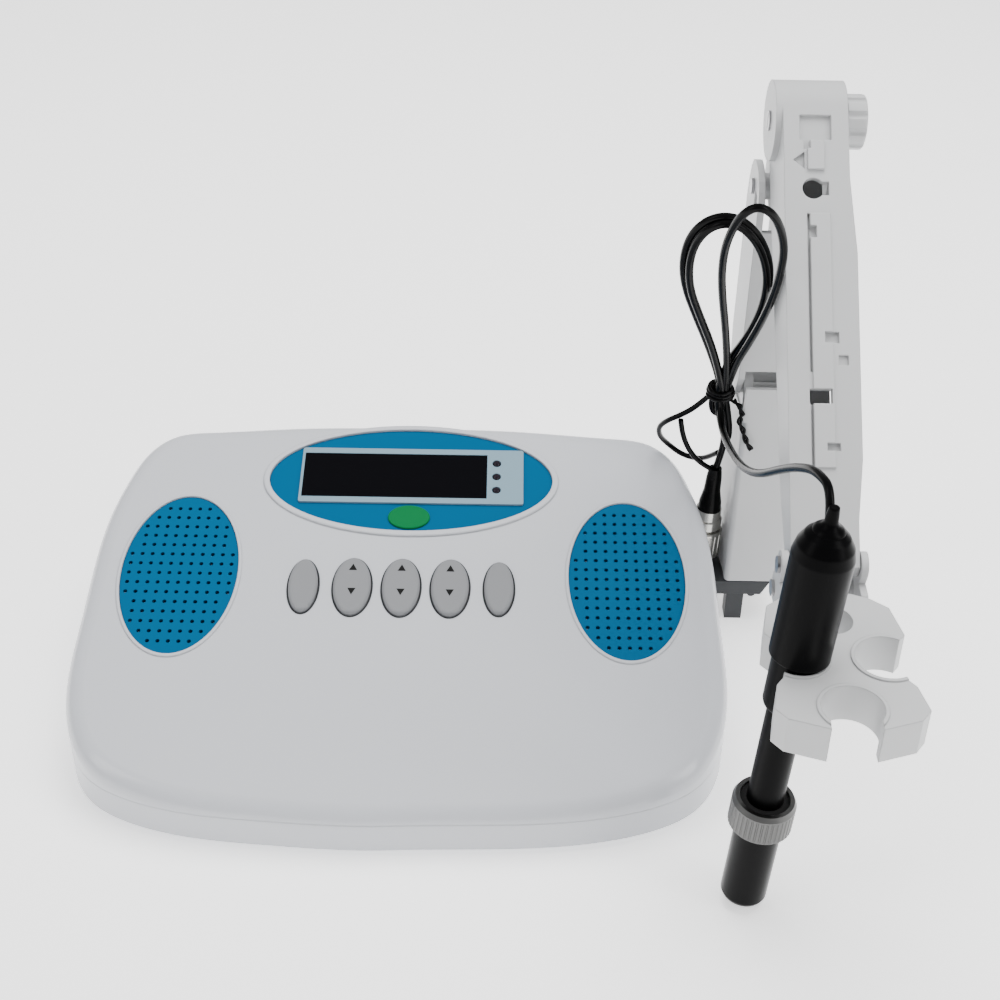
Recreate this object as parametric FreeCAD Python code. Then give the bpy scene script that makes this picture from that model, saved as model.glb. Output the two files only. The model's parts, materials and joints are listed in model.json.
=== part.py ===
"""Bench pH meter: sloped console with keypad and display, folding electrode arm, electrode in its
storage bottle, and the electrode's cable bundle.  Lengths in millimetres, +Z up.

Every function works in console coordinates: X to the user's right, Y towards the back, Z up from
the table, with X = 0 on the console's centre line.  save() moves each node so that the origin is
at the middle of the whole object's footprint.
"""
import FreeCAD, Part
import math
import os

os.makedirs("parts", exist_ok=True)

V = FreeCAD.Vector
X_AXIS = V(1, 0, 0)
Y_AXIS = V(0, 1, 0)
Z_AXIS = V(0, 0, 1)

# ---------------------------------------------------------------- driving dimensions
ORIGIN_X = 19.5             # middle of the footprint, in console coordinates
ORIGIN_Y = -21.3
WALL = 2.4                  # moulded wall of the console shells
GAP = 0.35                  # clearance round loose and moving pieces

CONSOLE_FRONT = -82.3
CONSOLE_REAR = 82.0
CONSOLE_HALF = 112.8        # half width at the widest
BASE_BOTTOM = 3.0           # the feet lift the base off the table
PARTING = 14.0              # joint line between the two shells
SLOPE = 0.29                # rise of the top face per millimetre of depth
SLOPE_DEG = math.degrees(math.atan(SLOPE))
TOP_AT_ZERO = 41.75         # height of the top face above the origin of console coordinates
EDGE_ROUND = 7.0            # rounding of the top edge

PANEL_X, PANEL_S, PANEL_HALF_X, PANEL_HALF_S = 0.8, 53.6, 52.5, 24.2   # blue display panel, an ellipse
BEZEL_X, BEZEL_S, BEZEL_W, BEZEL_H = 1.1, 55.2, 83.0, 26.0   # silver frame
WINDOW_X, WINDOW_W, WINDOW_H = -5.2, 68.5, 21.0              # black window in the frame
LED_X, LED_PITCH, LED_R = 32.6, 6.4, 1.5
BADGE_S, BADGE_HALF_X, BADGE_HALF_S = 35.8, 7.7, 5.4

KEY_S = 4.2                 # row of keys, up the slope from the origin
KEY_PITCH = 17.3
KEY_FIRST_X = -35.1
PUSH_KEY = (5.2, 11.3)      # half sizes of the two outer keys
ROCKER_KEY = (6.7, 12.2)    # half sizes of the three middle keys
KEY_PROUD = 1.8
KEY_CLEAR = 0.5

PAD_X, PAD_S, PAD_HALF_X, PAD_HALF_S = 79.5, 9.4, 20.6, 34.4   # perforated oval pads
PAD_THICK = 1.6
HOLE_PITCH_X, HOLE_PITCH_S = 3.6, 4.15
HOLE_R = 0.75
HOLES_IN_ROW = (5, 7, 9, 9, 9, 11, 11, 11, 11, 11, 9, 9, 9, 7, 5)

REAR_PANEL_Y = 71.0
REAR_PANEL_HALF = 66.0
REAR_PANEL_TOP = 50.0

BRACKET_Z0, BRACKET_Z1 = 12.8, 18.8        # plate that carries the arm
SWIVEL = (128.5, 57.0)
SPINDLE_R = 4.0

POST_X0, POST_X1 = 119.9, 142.1            # fixed post
POST_Y0, POST_Y1 = 42.0, 72.0
POST_TOP = 104.0
SLEEVE_R = 4.2              # round the long pin between the head's two ears

# pivots of the folding arm, as (y, z)
POST_MAIN = (57.0, 103.0)
ELBOW_LOWER = (57.0, 174.0)
LOWER_LINK_OFFSET = (10.0, -2.0)
ELBOW_UPPER = (49.0, 200.0)
CLIP_MAIN = (-60.5, 105.0)
UPPER_LINK_OFFSET = (4.0, -12.0)
LOWER_ARM_X = (117.0, 145.0)
UPPER_ARM_X = (120.4, 142.6)
UPPER_ARM_INSIDE = (122.6, 139.9)
UPPER_ARM_NARROW = 140.8    # right side at the elbow, where the arm is narrower
END_X = 141.0               # and at the clip, where it narrows again
BOSS_X = 118.4              # left face of the elbow's round boss
KNOB_X = (141.8, 148.2)
ARM_WALL = 2.2
PIN_R = 1.6
AXLE_R = 2.0
PIN_CLEAR = 0.05

# front face of the upper arm: its highest point and its direction down the arm
FACE_TOP = (43.0, 212.0)
FACE_DEG = 44.72
ARM_LENGTH = 150.0

CLIP_X = 130.4
CLIP_Z0, CLIP_Z1 = 88.0, 100.0
PROBE_HOLE_R = 6.4
LIP_WIDTH, LIP_HEIGHT = 1.1, 0.5       # raised lips round the notches
PROBE_HOLE_Y = -80.2
LEFT_EAR_X = (117.7, 120.0)
RIGHT_EAR_X = (141.3, 143.4)
NOTCH_Y = -97.0
NOTCH_R = 9.0
LEFT_NOTCH_R = 8.4          # holds the electrode's collar
LEFT_NOTCH_X = 118.45
RIGHT_NOTCH_X = 143.5
FRONT_NOTCH_Y = -118.0
FRONT_NOTCH_R = 8.7

# electrode, leaning in the clip
TIP = (112.6, -97.0, 3.0)
LEAN_DEG = 3.6
CAP_TOP = 141.5
CAP_BOTTOM = 98.8
COLLAR_BOTTOM = 80.0
BODY_R = 5.6
BOTTLE_R = 7.25
RING_R = 9.8
RING_Z = (31.0, 42.0)
BOTTLE_MOUTH = 38.5

CABLE_R = 1.3               # electrode cable
LEAD_R = 1.0                # thin side leads
PLUG_TOP = (114.1, 56.0, 57.5)
PLUG_LEAN_DEG = 2.5
PLUG_LENGTH = 38.0

made = {}


def save(node, shape):
    """Keep a node and write its STEP file in the object's own frame."""
    if len(shape.Solids) == 1:
        shape = shape.Solids[0]
    shape.translate(V(-ORIGIN_X, -ORIGIN_Y, 0))
    made[node] = shape
    shape.exportStep(f"parts/{node}.step")


# ---------------------------------------------------------------- shape helpers
def box(x0, x1, y0, y1, z0, z1):
    return Part.makeBox(x1 - x0, y1 - y0, z1 - z0, V(x0, y0, z0))


def cylinder(radius, start, axis, length):
    return Part.makeCylinder(radius, length, V(*start), axis)


def cross_pin(yz, radius, x0, x1):
    """A round bar along X through the point (y, z)."""
    return cylinder(radius, (x0, yz[0], yz[1]), X_AXIS, x1 - x0)


def fuse(shapes):
    first, *rest = shapes
    return first.fuse(rest).removeSplitter() if rest else first


def cut_all(shape, tools):
    """Cut tools from a shell one at a time."""
    for tool in tools:
        shape = shape.cut(tool)
    return shape


def polygon(points, direction):
    """Extrude a closed polygon of 3-D points."""
    corners = [V(*p) for p in points]
    return Part.Face(Part.makePolygon(corners + corners[:1])).extrude(direction)


def yz_plate(points, x0, x1):
    return polygon([(x0, y, z) for y, z in points], V(x1 - x0, 0, 0))


def bar(p, q, radius, x0, x1):
    """A flat link with round ends between two pivots (y, z)."""
    dy, dz = q[0] - p[0], q[1] - p[1]
    length = math.hypot(dy, dz)
    ny, nz = -dz / length * radius, dy / length * radius
    corners = [(p[0] + ny, p[1] + nz), (q[0] + ny, q[1] + nz),
               (q[0] - ny, q[1] - nz), (p[0] - ny, p[1] - nz)]
    ends = [cross_pin(p, radius, x0, x1), cross_pin(q, radius, x0, x1)]
    return fuse([yz_plate(corners, x0, x1)] + ends)


def ellipse_prism(half_x, half_s, n0, n1, x=0.0, s=0.0):
    """An upright elliptical prism in slope coordinates."""
    long_half, short_half = max(half_x, half_s), min(half_x, half_s)
    curve = Part.Ellipse(V(0, 0, 0), long_half, short_half).toShape()
    if half_s > half_x:
        curve.rotate(V(0, 0, 0), Z_AXIS, 90)
    curve.translate(V(x, s, n0))
    return Part.Face(Part.Wire([curve])).extrude(V(0, 0, n1 - n0))


def on_slope(shape):
    """Move a shape from slope coordinates (x, up the slope, out of it) to console coordinates."""
    placed = shape.copy()
    placed.rotate(V(0, 0, 0), X_AXIS, SLOPE_DEG)
    placed.translate(V(0, 0, TOP_AT_ZERO))
    return placed


def arm_frame(shape):
    """Move a shape built as (x, down the arm, out of its face) onto the upper arm's face."""
    up = math.radians(FACE_DEG)
    placed = shape.copy()
    placed.rotate(V(0, 0, 0), X_AXIS, 180.0 + FACE_DEG)
    placed = placed.mirror(V(0, 0, 0), V(0, -math.sin(up), math.cos(up)))
    placed.translate(V(0, *FACE_TOP))
    return placed


def leaning(shape):
    """Move a shape from electrode coordinates (Z up its axis from the tip) to the clip."""
    placed = shape.copy()
    placed.rotate(V(0, 0, 0), Y_AXIS, LEAN_DEG)
    placed.translate(V(*TIP))
    return placed


def hanging(shape):
    """Move a shape from plug coordinates (Z down its axis from the cable end) to its place."""
    placed = shape.copy()
    placed.rotate(V(0, 0, 0), X_AXIS, 180)
    placed.rotate(V(0, 0, 0), Y_AXIS, PLUG_LEAN_DEG)
    placed.translate(V(*PLUG_TOP))
    return placed


def revolved(profile, turn=360):
    """Turn a closed profile of (radius, height) points about Z."""
    points = [V(r, 0, z) for r, z in profile]
    return Part.Face(Part.makePolygon(points + points[:1])).revolve(V(0, 0, 0), Z_AXIS, turn)


def rounded_route(points):
    """Straight runs joined by tangent arcs as large as the runs allow, with the arcs' radii."""
    route = [V(*p) for p in points]
    edges = []
    radii = []
    start = route[0]
    for before, corner, after in zip(route, route[1:], route[2:]):
        into, out = (corner - before), (after - corner)
        turn = into.getAngle(out)
        arc_r = 0.45 * min(into.Length, out.Length) / math.tan(turn / 2)
        radii.append(arc_r)
        cut = arc_r * math.tan(turn / 2)
        into.normalize()
        out.normalize()
        first, last = corner - into * cut, corner + out * cut
        inward = (out - into)
        inward.normalize()
        middle = corner + inward * (arc_r / math.cos(turn / 2) - arc_r)
        edges += [Part.LineSegment(start, first).toShape(), Part.Arc(first, middle, last).toShape()]
        start = last
    edges.append(Part.LineSegment(start, route[-1]).toShape())
    return Part.Wire(edges), radii


def swept_tube(points, radius):
    path, _ = rounded_route(points)
    ring = Part.Wire([Part.makeCircle(radius, V(*points[0]), V(*points[1]) - V(*points[0]))])
    return path.makePipeShell([ring], True, True)


def cord_tube(name, points, radius):
    """A cord's tube; prints its length, its bend radii and how its volume compares with the ideal."""
    path, radii = rounded_route(points)
    tube = swept_tube(points, radius)
    ideal = math.pi * radius ** 2 * path.Length
    print(f"{name}: length {path.Length:.1f}, radii {', '.join(f'{r:.0f}' for r in radii)}, "
          f"volume {tube.Volume:.1f} of {ideal:.1f}")
    return tube


# ---------------------------------------------------------------- console
OUTLINE = [(0, CONSOLE_FRONT), (42, -80.8), (66, -78.0), (85, -72.6), (100.5, -63.0), (109, -49.0),
           (CONSOLE_HALF, -30.0), (112.5, -5.0), (111.8, 20.0), (109.5, 40.0), (105.5, 55.0), (99.0, 69.0),
           (91.0, 75.8), (76.0, 78.6), (42.0, 81.2), (0, CONSOLE_REAR)]


def inset_outline(inset):
    """The console's plan as points, moved in by a distance."""
    mirrored = [(-x, y) for x, y in reversed(OUTLINE[1:-1])]
    loop = OUTLINE + mirrored
    moved = []
    for number, (x, y) in enumerate(loop):
        before, after = loop[number - 1], loop[(number + 1) % len(loop)]
        dx, dy = after[0] - before[0], after[1] - before[1]
        length = math.hypot(dx, dy)
        moved.append(V(x - dy / length * inset, y + dx / length * inset, 0))
    return moved


def console_block(inset, bottom, drop, rounding):
    """The console's solid shape inside its walls, cut by the sloped top."""
    curve = Part.BSplineCurve()
    curve.interpolate(inset_outline(inset), PeriodicFlag=True)
    plan = Part.Face(Part.Wire([curve.toShape()]))
    plan.translate(V(0, 0, bottom))
    block = plan.extrude(V(0, 0, 100))
    block = block.cut(on_slope(Part.makeBox(400, 400, 200, V(-200, -200, -drop))))
    top_edges = [e for e in block.Edges if e.BoundBox.ZMax > bottom + 20 and e.Length > 100]
    return block.makeFillet(rounding, top_edges)


def console_shell():
    """Outside and inside of the console, before it is split at the joint line."""
    outer = console_block(0.0, BASE_BOTTOM, 0.0, EDGE_ROUND)
    inner = console_block(WALL, BASE_BOTTOM + WALL, WALL, EDGE_ROUND - WALL)
    return outer, inner


SCREW_R = 1.3
SCREW_SPOTS = [(-84, -52), (84, -52), (-80, 46), (72, 44)]
FOOT_SPOTS = [(-86, -48), (86, -48), (-74, 52), (74, 52)]


def base_case():
    """Lower shell with screw bosses, board pillars and the pocket for the arm bracket."""
    outer, inner = console_shell()
    shell = outer.cut(inner).common(box(-150, 150, -150, 150, 0, PARTING))
    inside = BASE_BOTTOM + 0.5
    bosses = [cylinder(4.0, (x, y, inside), Z_AXIS, PARTING - inside - 1.0) for x, y in SCREW_SPOTS]
    pillars = [cylinder(3.0, (x, y, inside), Z_AXIS, 7.5) for x, y in BOARD_SPOTS]
    shell = shell.fuse(bosses + pillars)
    drills = [cylinder(1.8, (x, y, 0), Z_AXIS, 30) for x, y in SCREW_SPOTS]
    drills += [cylinder(3.4, (x, y, BASE_BOTTOM - 0.1), Z_AXIS, 3.1) for x, y in SCREW_SPOTS]
    drills += [cylinder(6.3, (x, y, BASE_BOTTOM - 0.1), Z_AXIS, 0.9) for x, y in FOOT_SPOTS]
    pocket = box(86, 150, 44.5, 69.5, BRACKET_Z0 - 0.3, BRACKET_Z1 + 0.3)
    rear = box(-REAR_PANEL_HALF, REAR_PANEL_HALF, REAR_PANEL_Y, 150, BASE_BOTTOM + WALL + 2, 100)
    slots = [box(x, x + 2.0, -6, 22, 0, 10) for x in range(-40, 41, 8)]
    return cut_all(shell, drills + [pocket, rear] + slots)


def raised_rim(half_x, half_s, x, s, width, height):
    """A low lip round an elliptical recess."""
    lip = ellipse_prism(half_x + width, half_s + width, -1.0, height, x, s)
    top_edge = max(lip.Edges, key=lambda e: e.CenterOfMass.z)
    return lip.makeFillet(height * 0.6, [top_edge])


def recess_tools(half_x, half_s, x, s, depth, ledge):
    """The pocket for an inset oval piece and the opening behind it."""
    pocket = ellipse_prism(half_x + 0.15, half_s + 0.15, -depth, 5, x, s)
    opening = ellipse_prism(half_x - ledge, half_s - ledge, -10, 5, x, s)
    return [pocket, opening]


def top_case():
    """Upper shell: the sloped face with its display, key and grille openings."""
    outer, inner = console_shell()
    above = box(-150, 150, -150, 150, PARTING, 150)
    shell = outer.cut(inner).common(above)
    panel_lip = raised_rim(PANEL_HALF_X, PANEL_HALF_S, PANEL_X, PANEL_S, 2.4, 0.9)
    pad_lips = [raised_rim(PAD_HALF_X, PAD_HALF_S, x, PAD_S, 1.3, 0.6) for x in (-PAD_X, PAD_X)]
    posts = [cylinder(2.6, (x, s, -9.0), Z_AXIS, 8.0) for x, s in KEY_BOARD_SPOTS]
    columns = [box(x - 4, x + 4, y - 4, y + 4, PARTING, 60).common(inner) for x, y in SCREW_SPOTS]
    for pieces in ([panel_lip], pad_lips, posts):
        shell = shell.fuse([on_slope(piece) for piece in pieces])
    shell = shell.fuse(columns)
    tools = recess_tools(PANEL_HALF_X, PANEL_HALF_S, PANEL_X, PANEL_S, 1.5, 4.5)
    for x in (-PAD_X, PAD_X):
        tools += recess_tools(PAD_HALF_X, PAD_HALF_S, x, PAD_S, PAD_THICK, 2.2)
    for number in range(5):
        half_x, half_s = key_size(number)
        tools.append(ellipse_prism(half_x + KEY_CLEAR, half_s + KEY_CLEAR, -WALL - 1, 5,
                                   key_x(number), KEY_S))
    shell = cut_all(shell, [on_slope(tool) for tool in tools])
    drills = [cylinder(SCREW_R, (x, y, PARTING - 1), Z_AXIS, 8.5) for x, y in SCREW_SPOTS]
    rear = box(-REAR_PANEL_HALF, REAR_PANEL_HALF, REAR_PANEL_Y, 150, 0, REAR_PANEL_TOP - 2)
    bracket = box(86, 150, 44.5, 69.5, BRACKET_Z0 - 0.3, BRACKET_Z1 + 0.3)
    return cut_all(shell, drills + [rear, bracket])


def key_x(number):
    return KEY_FIRST_X + KEY_PITCH * number


def key_size(number):
    return PUSH_KEY if number in (0, 4) else ROCKER_KEY


KEY_BOARD_SPOTS = [(-44, -10), (44, -10), (-44, 20), (44, 20)]
BOARD_SPOTS = [(-58, -28), (40, -28), (-58, 30), (40, 30)]


def key_cap(number):
    """An oval key with a domed top and a retaining flange under the shell."""
    half_x, half_s = key_size(number)
    stem = ellipse_prism(half_x, half_s, -4.0, KEY_PROUD, key_x(number), KEY_S)
    crown = max(stem.Edges, key=lambda e: e.CenterOfMass.z)
    stem = stem.makeFillet(1.2, [crown])
    flange = ellipse_prism(half_x + 1.2, half_s + 1.0, -4.6, -3.6, key_x(number), KEY_S)
    return on_slope(stem.fuse(flange).removeSplitter())


def key_switches():
    """Tactile switches: one under each push key, two under each rocking key."""
    spots = []
    for number in range(5):
        offsets = (0.0,) if number in (0, 4) else (-8.0, 8.0)
        spots += [(key_x(number), KEY_S + offset) for offset in offsets]
    pieces = []
    for x, s in spots:
        body = box(x - 3, x + 3, s - 3, s + 3, -9.0, -6.5)
        pieces.append(on_slope(body.fuse(cylinder(1.7, (x, s, -6.5), Z_AXIS, 0.8)).removeSplitter()))
    return Part.makeCompound(pieces)


def key_board():
    board = box(-50, 50, -14, 24, -10.6, -9.0)
    holes = [cylinder(1.5, (x, s, -12), Z_AXIS, 5) for x, s in KEY_BOARD_SPOTS]
    return on_slope(board.cut(holes))


def display_panel():
    plate = ellipse_prism(PANEL_HALF_X, PANEL_HALF_S, -1.5, 0.0, PANEL_X, PANEL_S)
    window = box(WINDOW_X - WINDOW_W / 2 + 1, WINDOW_X + WINDOW_W / 2 - 1,
                 BEZEL_S - WINDOW_H / 2 + 1, BEZEL_S + WINDOW_H / 2 - 1, -3, 3)
    lamps = [cylinder(LED_R + 0.15, (LED_X, s, -3), Z_AXIS, 6) for s in led_rows()]
    return on_slope(plate.cut([window] + lamps))


def led_rows():
    return [BEZEL_S + LED_PITCH * step for step in (-1, 0, 1)]


def display_bezel():
    x0, x1 = BEZEL_X - BEZEL_W / 2, BEZEL_X + BEZEL_W / 2
    frame = box(x0, x1, BEZEL_S - BEZEL_H / 2, BEZEL_S + BEZEL_H / 2, 0.0, 0.9)
    window = box(WINDOW_X - WINDOW_W / 2, WINDOW_X + WINDOW_W / 2,
                 BEZEL_S - WINDOW_H / 2, BEZEL_S + WINDOW_H / 2, -1, 2)
    lamps = [cylinder(LED_R + 0.15, (LED_X, s, -1), Z_AXIS, 6) for s in led_rows()]
    upright = [e for e in frame.Edges if abs(e.tangentAt(e.FirstParameter).z) > 0.9]
    return on_slope(frame.makeFillet(0.8, upright).cut([window] + lamps))


def display_window():
    lens = box(WINDOW_X - WINDOW_W / 2 + 0.1, WINDOW_X + WINDOW_W / 2 - 0.1,
               BEZEL_S - WINDOW_H / 2 + 0.1, BEZEL_S + WINDOW_H / 2 - 0.1, 0.0, 0.7)
    return on_slope(lens)


def display_module():
    """Digit block and its small board behind the window."""
    digits = box(WINDOW_X - 32, WINDOW_X + 32, BEZEL_S - 9, BEZEL_S + 9, -9.0, -1.9)
    board = box(-40, 40, BEZEL_S - 13, BEZEL_S + 13, -10.6, -9.0)
    return on_slope(digits.fuse(board).removeSplitter())


def indicator_leds():
    lamps = []
    for s in led_rows():
        lamp = cylinder(LED_R, (LED_X, s, -8.6), Z_AXIS, 8.9)
        dome = Part.makeSphere(LED_R, V(LED_X, s, 0.3))
        lamps.append(on_slope(lamp.fuse(dome).removeSplitter()))
    return Part.makeCompound(lamps)


def badge():
    disc = ellipse_prism(BADGE_HALF_X, BADGE_HALF_S, 0.0, 0.8, PANEL_X, BADGE_S)
    crown = max(disc.Edges, key=lambda e: e.CenterOfMass.z)
    return on_slope(disc.makeFillet(0.45, [crown]))


def grille(side):
    """Oval pad with a lattice of small holes."""
    x = side * PAD_X
    plate = ellipse_prism(PAD_HALF_X, PAD_HALF_S, -PAD_THICK, 0.0, x, PAD_S)
    holes = []
    for row, count in enumerate(HOLES_IN_ROW):
        s = PAD_S + (row - len(HOLES_IN_ROW) // 2) * HOLE_PITCH_S
        for column in range(count):
            hole_x = x + (column - count // 2) * HOLE_PITCH_X
            holes.append(cylinder(HOLE_R, (hole_x, s, -3), Z_AXIS, 6))
    return on_slope(plate.cut(Part.makeCompound(holes)))


def rubber_feet():
    height = BASE_BOTTOM + 0.8
    return Part.makeCompound([Part.makeCone(5.4, 6.2, height, V(x, y, 0), Z_AXIS) for x, y in FOOT_SPOTS])


def cross_head_screw(x, y, z, direction, length, head_r=3.0, shank_r=SCREW_R):
    """A pan-head screw with a cross recess; the head starts at z and the shank runs along direction."""
    head = cylinder(head_r, (x, y, z), direction, 1.8)
    shank = cylinder(shank_r, (x, y, z), direction, length)
    screw = head.fuse(shank).removeSplitter()
    low = min(z, z + direction.z * 0.9)
    bars = [box(x - 1.7, x + 1.7, y - 0.35, y + 0.35, low, low + 0.9),
            box(x - 0.35, x + 0.35, y - 1.7, y + 1.7, low, low + 0.9)]
    return screw.cut(bars)


def case_screws():
    """Screws of the case, driven from below, and the two that hold the arm's bracket."""
    case = [cross_head_screw(x, y, BASE_BOTTOM + 1.0, Z_AXIS, 17.0) for x, y in SCREW_SPOTS]
    bracket = [cross_head_screw(93.5, y, BRACKET_Z1 + 1.8, V(0, 0, -1), 13.0) for y in (51, 63)]
    return Part.makeCompound(case + bracket)


def main_board():
    board = box(-64, 46, -34, 36, 11.0, 12.6)
    holes = [cylinder(1.6, (x, y, 5), Z_AXIS, 20) for x, y in BOARD_SPOTS]
    return board.cut(holes)


def board_chips():
    """The larger components on the main board, as separate packages."""
    places = [(-46, -20, 12, 8, 2.4), (-22, -18, 9, 9, 1.8), (6, -22, 14, 7, 3.0), (-40, 14, 8, 5, 2.0),
              (-16, 18, 18, 6, 3.2), (22, -6, 7, 7, 1.8)]
    chips = [box(x, x + w, y, y + d, 12.6, 12.6 + h) for x, y, w, d, h in places]
    cans = [cylinder(3.0, (x, y, 12.6), Z_AXIS, 7.5) for x, y in ((34, 14), (34, 24), (24, 24))]
    return Part.makeCompound(chips + cans)


def amplifier_shield():
    """Tin can over the high-impedance input stage."""
    can = box(-12, 14, -4, 12, 12.6, 19.5)
    return can.cut(box(-11.4, 13.4, -3.4, 11.4, 12.5, 18.9))


def transformer():
    """Laminated mains transformer on its own feet."""
    core = box(-88, -66, -20, 20, BASE_BOTTOM + WALL, 31.0)
    coil = box(-90, -64, -12, 12, 9.0, 28.0)
    return fuse([core, coil])


def rear_panel():
    plate = box(-REAR_PANEL_HALF + GAP, REAR_PANEL_HALF - GAP, REAR_PANEL_Y, REAR_PANEL_Y + 2,
                BASE_BOTTOM + WALL + 2.2, REAR_PANEL_TOP - 2.2)
    tools = [box(-60.2, -32.8, 60, 80, 15.8, 36.2), box(-27.2, -12.8, 60, 80, 16.8, 38.2)]
    tools += [cylinder(5.0, (20, 60, 27), Y_AXIS, 20), cylinder(3.1, (38, 60, 27), Y_AXIS, 20),
              cylinder(4.1, (55, 60, 27), Y_AXIS, 20)]
    return plate.cut(tools)


def power_inlet():
    """Mains inlet: a flanged socket with three blades inside."""
    body = box(-60, -33, 52, REAR_PANEL_Y + 2, 16, 36)
    flange = box(-63, -30, REAR_PANEL_Y + 2, REAR_PANEL_Y + 4, 13.5, 38.5)
    cavity = box(-58, -35, 56, 90, 18, 34)
    blades = [box(x - 2, x + 2, 54, 68, z - 1, z + 1) for x, z in ((-53, 24), (-40, 24), (-46.5, 29))]
    return fuse([body.fuse(flange).cut(cavity)] + blades)


ROCKER_AXIS = (67.5, 27.5)


def power_switch():
    """Frame of the mains rocker switch."""
    body = box(-27, -13, 56, REAR_PANEL_Y + 2, 17, 38)
    flange = box(-29, -11, REAR_PANEL_Y + 2, REAR_PANEL_Y + 3.6, 15, 40)
    cavity = box(-25.2, -14.8, 61.5, 90, 19, 36)
    return fuse([body.fuse(flange).cut(cavity), cross_pin(ROCKER_AXIS, 1.2, -26.0, -14.0)])


def power_rocker():
    """Two-winged rocker, tilted to its off side."""
    y, z = ROCKER_AXIS
    wings = [(y - 2, z - 7.0), (y + 6.6, z - 7.2), (y + 4.6, z), (y + 6.6, z + 7.2), (y - 2, z + 7.0)]
    rocker = fuse([yz_plate(wings, -24.8, -15.2), cross_pin(ROCKER_AXIS, 2.6, -24.8, -15.2)])
    rocker = rocker.cut(cross_pin(ROCKER_AXIS, 1.2 + PIN_CLEAR, -30, -10))
    rocker.rotate(V(0, y, z), X_AXIS, -8)
    return rocker


def fuse_holder():
    """Screw-in fuse cap beside the inlet."""
    stem = cylinder(4.0, (55, 56, 27), Y_AXIS, REAR_PANEL_Y + 2 - 56)
    cap = cylinder(6.4, (55, REAR_PANEL_Y + 2, 27), Y_AXIS, 6.0)
    slot = box(50.5, 59.5, REAR_PANEL_Y + 7.0, REAR_PANEL_Y + 9, 26.4, 27.6)
    return stem.fuse(cap).removeSplitter().cut(slot)


def input_socket():
    """Bayonet socket for an electrode plug, with its two lugs and centre contact."""
    shell = cylinder(4.85, (20, REAR_PANEL_Y - 7, 27), Y_AXIS, 18.0)
    flange = cylinder(7.5, (20, REAR_PANEL_Y + 2, 27), Y_AXIS, 2.0)
    lugs = cylinder(1.0, (20 - 5.9, REAR_PANEL_Y + 8.0, 27), X_AXIS, 11.8)
    bore = cylinder(3.4, (20, REAR_PANEL_Y + 2.5, 27), Y_AXIS, 30)
    pin = cylinder(0.7, (20, REAR_PANEL_Y + 2.0, 27), Y_AXIS, 7.5)
    return fuse([fuse([shell, flange, lugs]).cut(bore), pin])


TERMINAL_SPOT = (38.0, 27.0)


def reference_terminal():
    """Threaded stud of the reference-electrode terminal."""
    x, z = TERMINAL_SPOT
    stud = cylinder(3.0, (x, REAR_PANEL_Y - 6, z), Y_AXIS, 8.0)
    collar = cylinder(5.0, (x, REAR_PANEL_Y + 2, z), Y_AXIS, 1.5)
    thread = cylinder(1.95, (x, REAR_PANEL_Y + 2, z), Y_AXIS, 10.6)
    return fuse([stud, collar, thread])


def terminal_nut():
    """Fluted thumb nut on the terminal stud."""
    x, z = TERMINAL_SPOT
    body = cylinder(5.2, (x, REAR_PANEL_Y + 4.2, z), Y_AXIS, 7.2)
    flutes = []
    for step in range(12):
        angle = math.radians(step * 30)
        foot = (x + 5.5 * math.cos(angle), REAR_PANEL_Y, z + 5.5 * math.sin(angle))
        flutes.append(cylinder(0.8, foot, Y_AXIS, 20))
    bore = cylinder(2.0, (x, REAR_PANEL_Y, z), Y_AXIS, 30)
    return body.cut(flutes + [bore])


# ---------------------------------------------------------------- arm
def arm_bracket():
    """Plate that plugs into the console's side and carries the post."""
    x1 = 137.5
    plate = polygon([(88, POST_Y0 + 3, BRACKET_Z0), (x1 - 3.2, POST_Y0 + 3, BRACKET_Z0),
                     (x1, POST_Y0 + 3, BRACKET_Z1), (88, POST_Y0 + 3, BRACKET_Z1)], V(0, 24, 0))
    outer = polygon([(111.5, POST_Y0, BRACKET_Z0), (x1 - 3.2, POST_Y0, BRACKET_Z0),
                     (x1, POST_Y0, BRACKET_Z1), (111.5, POST_Y0, BRACKET_Z1)], V(0, 30, 0))
    rib = cylinder(1.6, (131.0, POST_Y0 + 1, BRACKET_Z0 - 0.2), Y_AXIS, 7)
    bore = cylinder(SPINDLE_R + PIN_CLEAR, (*SWIVEL, 0), Z_AXIS, 40)
    holes = [cylinder(1.6, (93.5, y, 0), Z_AXIS, 40) for y in (51, 63)]
    return fuse([plate, outer, rib]).cut([bore] + holes)


def bracket_feet():
    """Two square legs under the bracket that stand on the table."""
    return Part.makeCompound([box(121.7, 128.2, y, y + 6.6, 0, BRACKET_Z0) for y in (43.2, 64.4)])


def post_spindle():
    """Shaft fixed in the post and turning in the bracket."""
    shaft = cylinder(SPINDLE_R, (*SWIVEL, BRACKET_Z0 - 1.0), Z_AXIS, 30.0)
    washer = cylinder(SPINDLE_R + 2.0, (*SWIVEL, BRACKET_Z0 - 2.4), Z_AXIS, 2.0)
    return shaft.fuse(washer).removeSplitter()


def post_pins():
    """Long headed pin of the lower arm and the short pin of the inner link."""
    long_pin = pins([POST_MAIN], 116.9, 145.9, 2.6)
    return Part.makeCompound(long_pin.Solids + [cross_pin(POST_LINK, PIN_R, POST_X0, POST_X1)])


def offset(point, shift):
    return (point[0] + shift[0], point[1] + shift[1])


POST_LINK = offset(POST_MAIN, LOWER_LINK_OFFSET)
ELBOW_LOWER_LINK = offset(ELBOW_LOWER, LOWER_LINK_OFFSET)
ELBOW_UPPER_LINK = offset(ELBOW_UPPER, UPPER_LINK_OFFSET)
CLIP_LINK = offset(CLIP_MAIN, UPPER_LINK_OFFSET)


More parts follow.
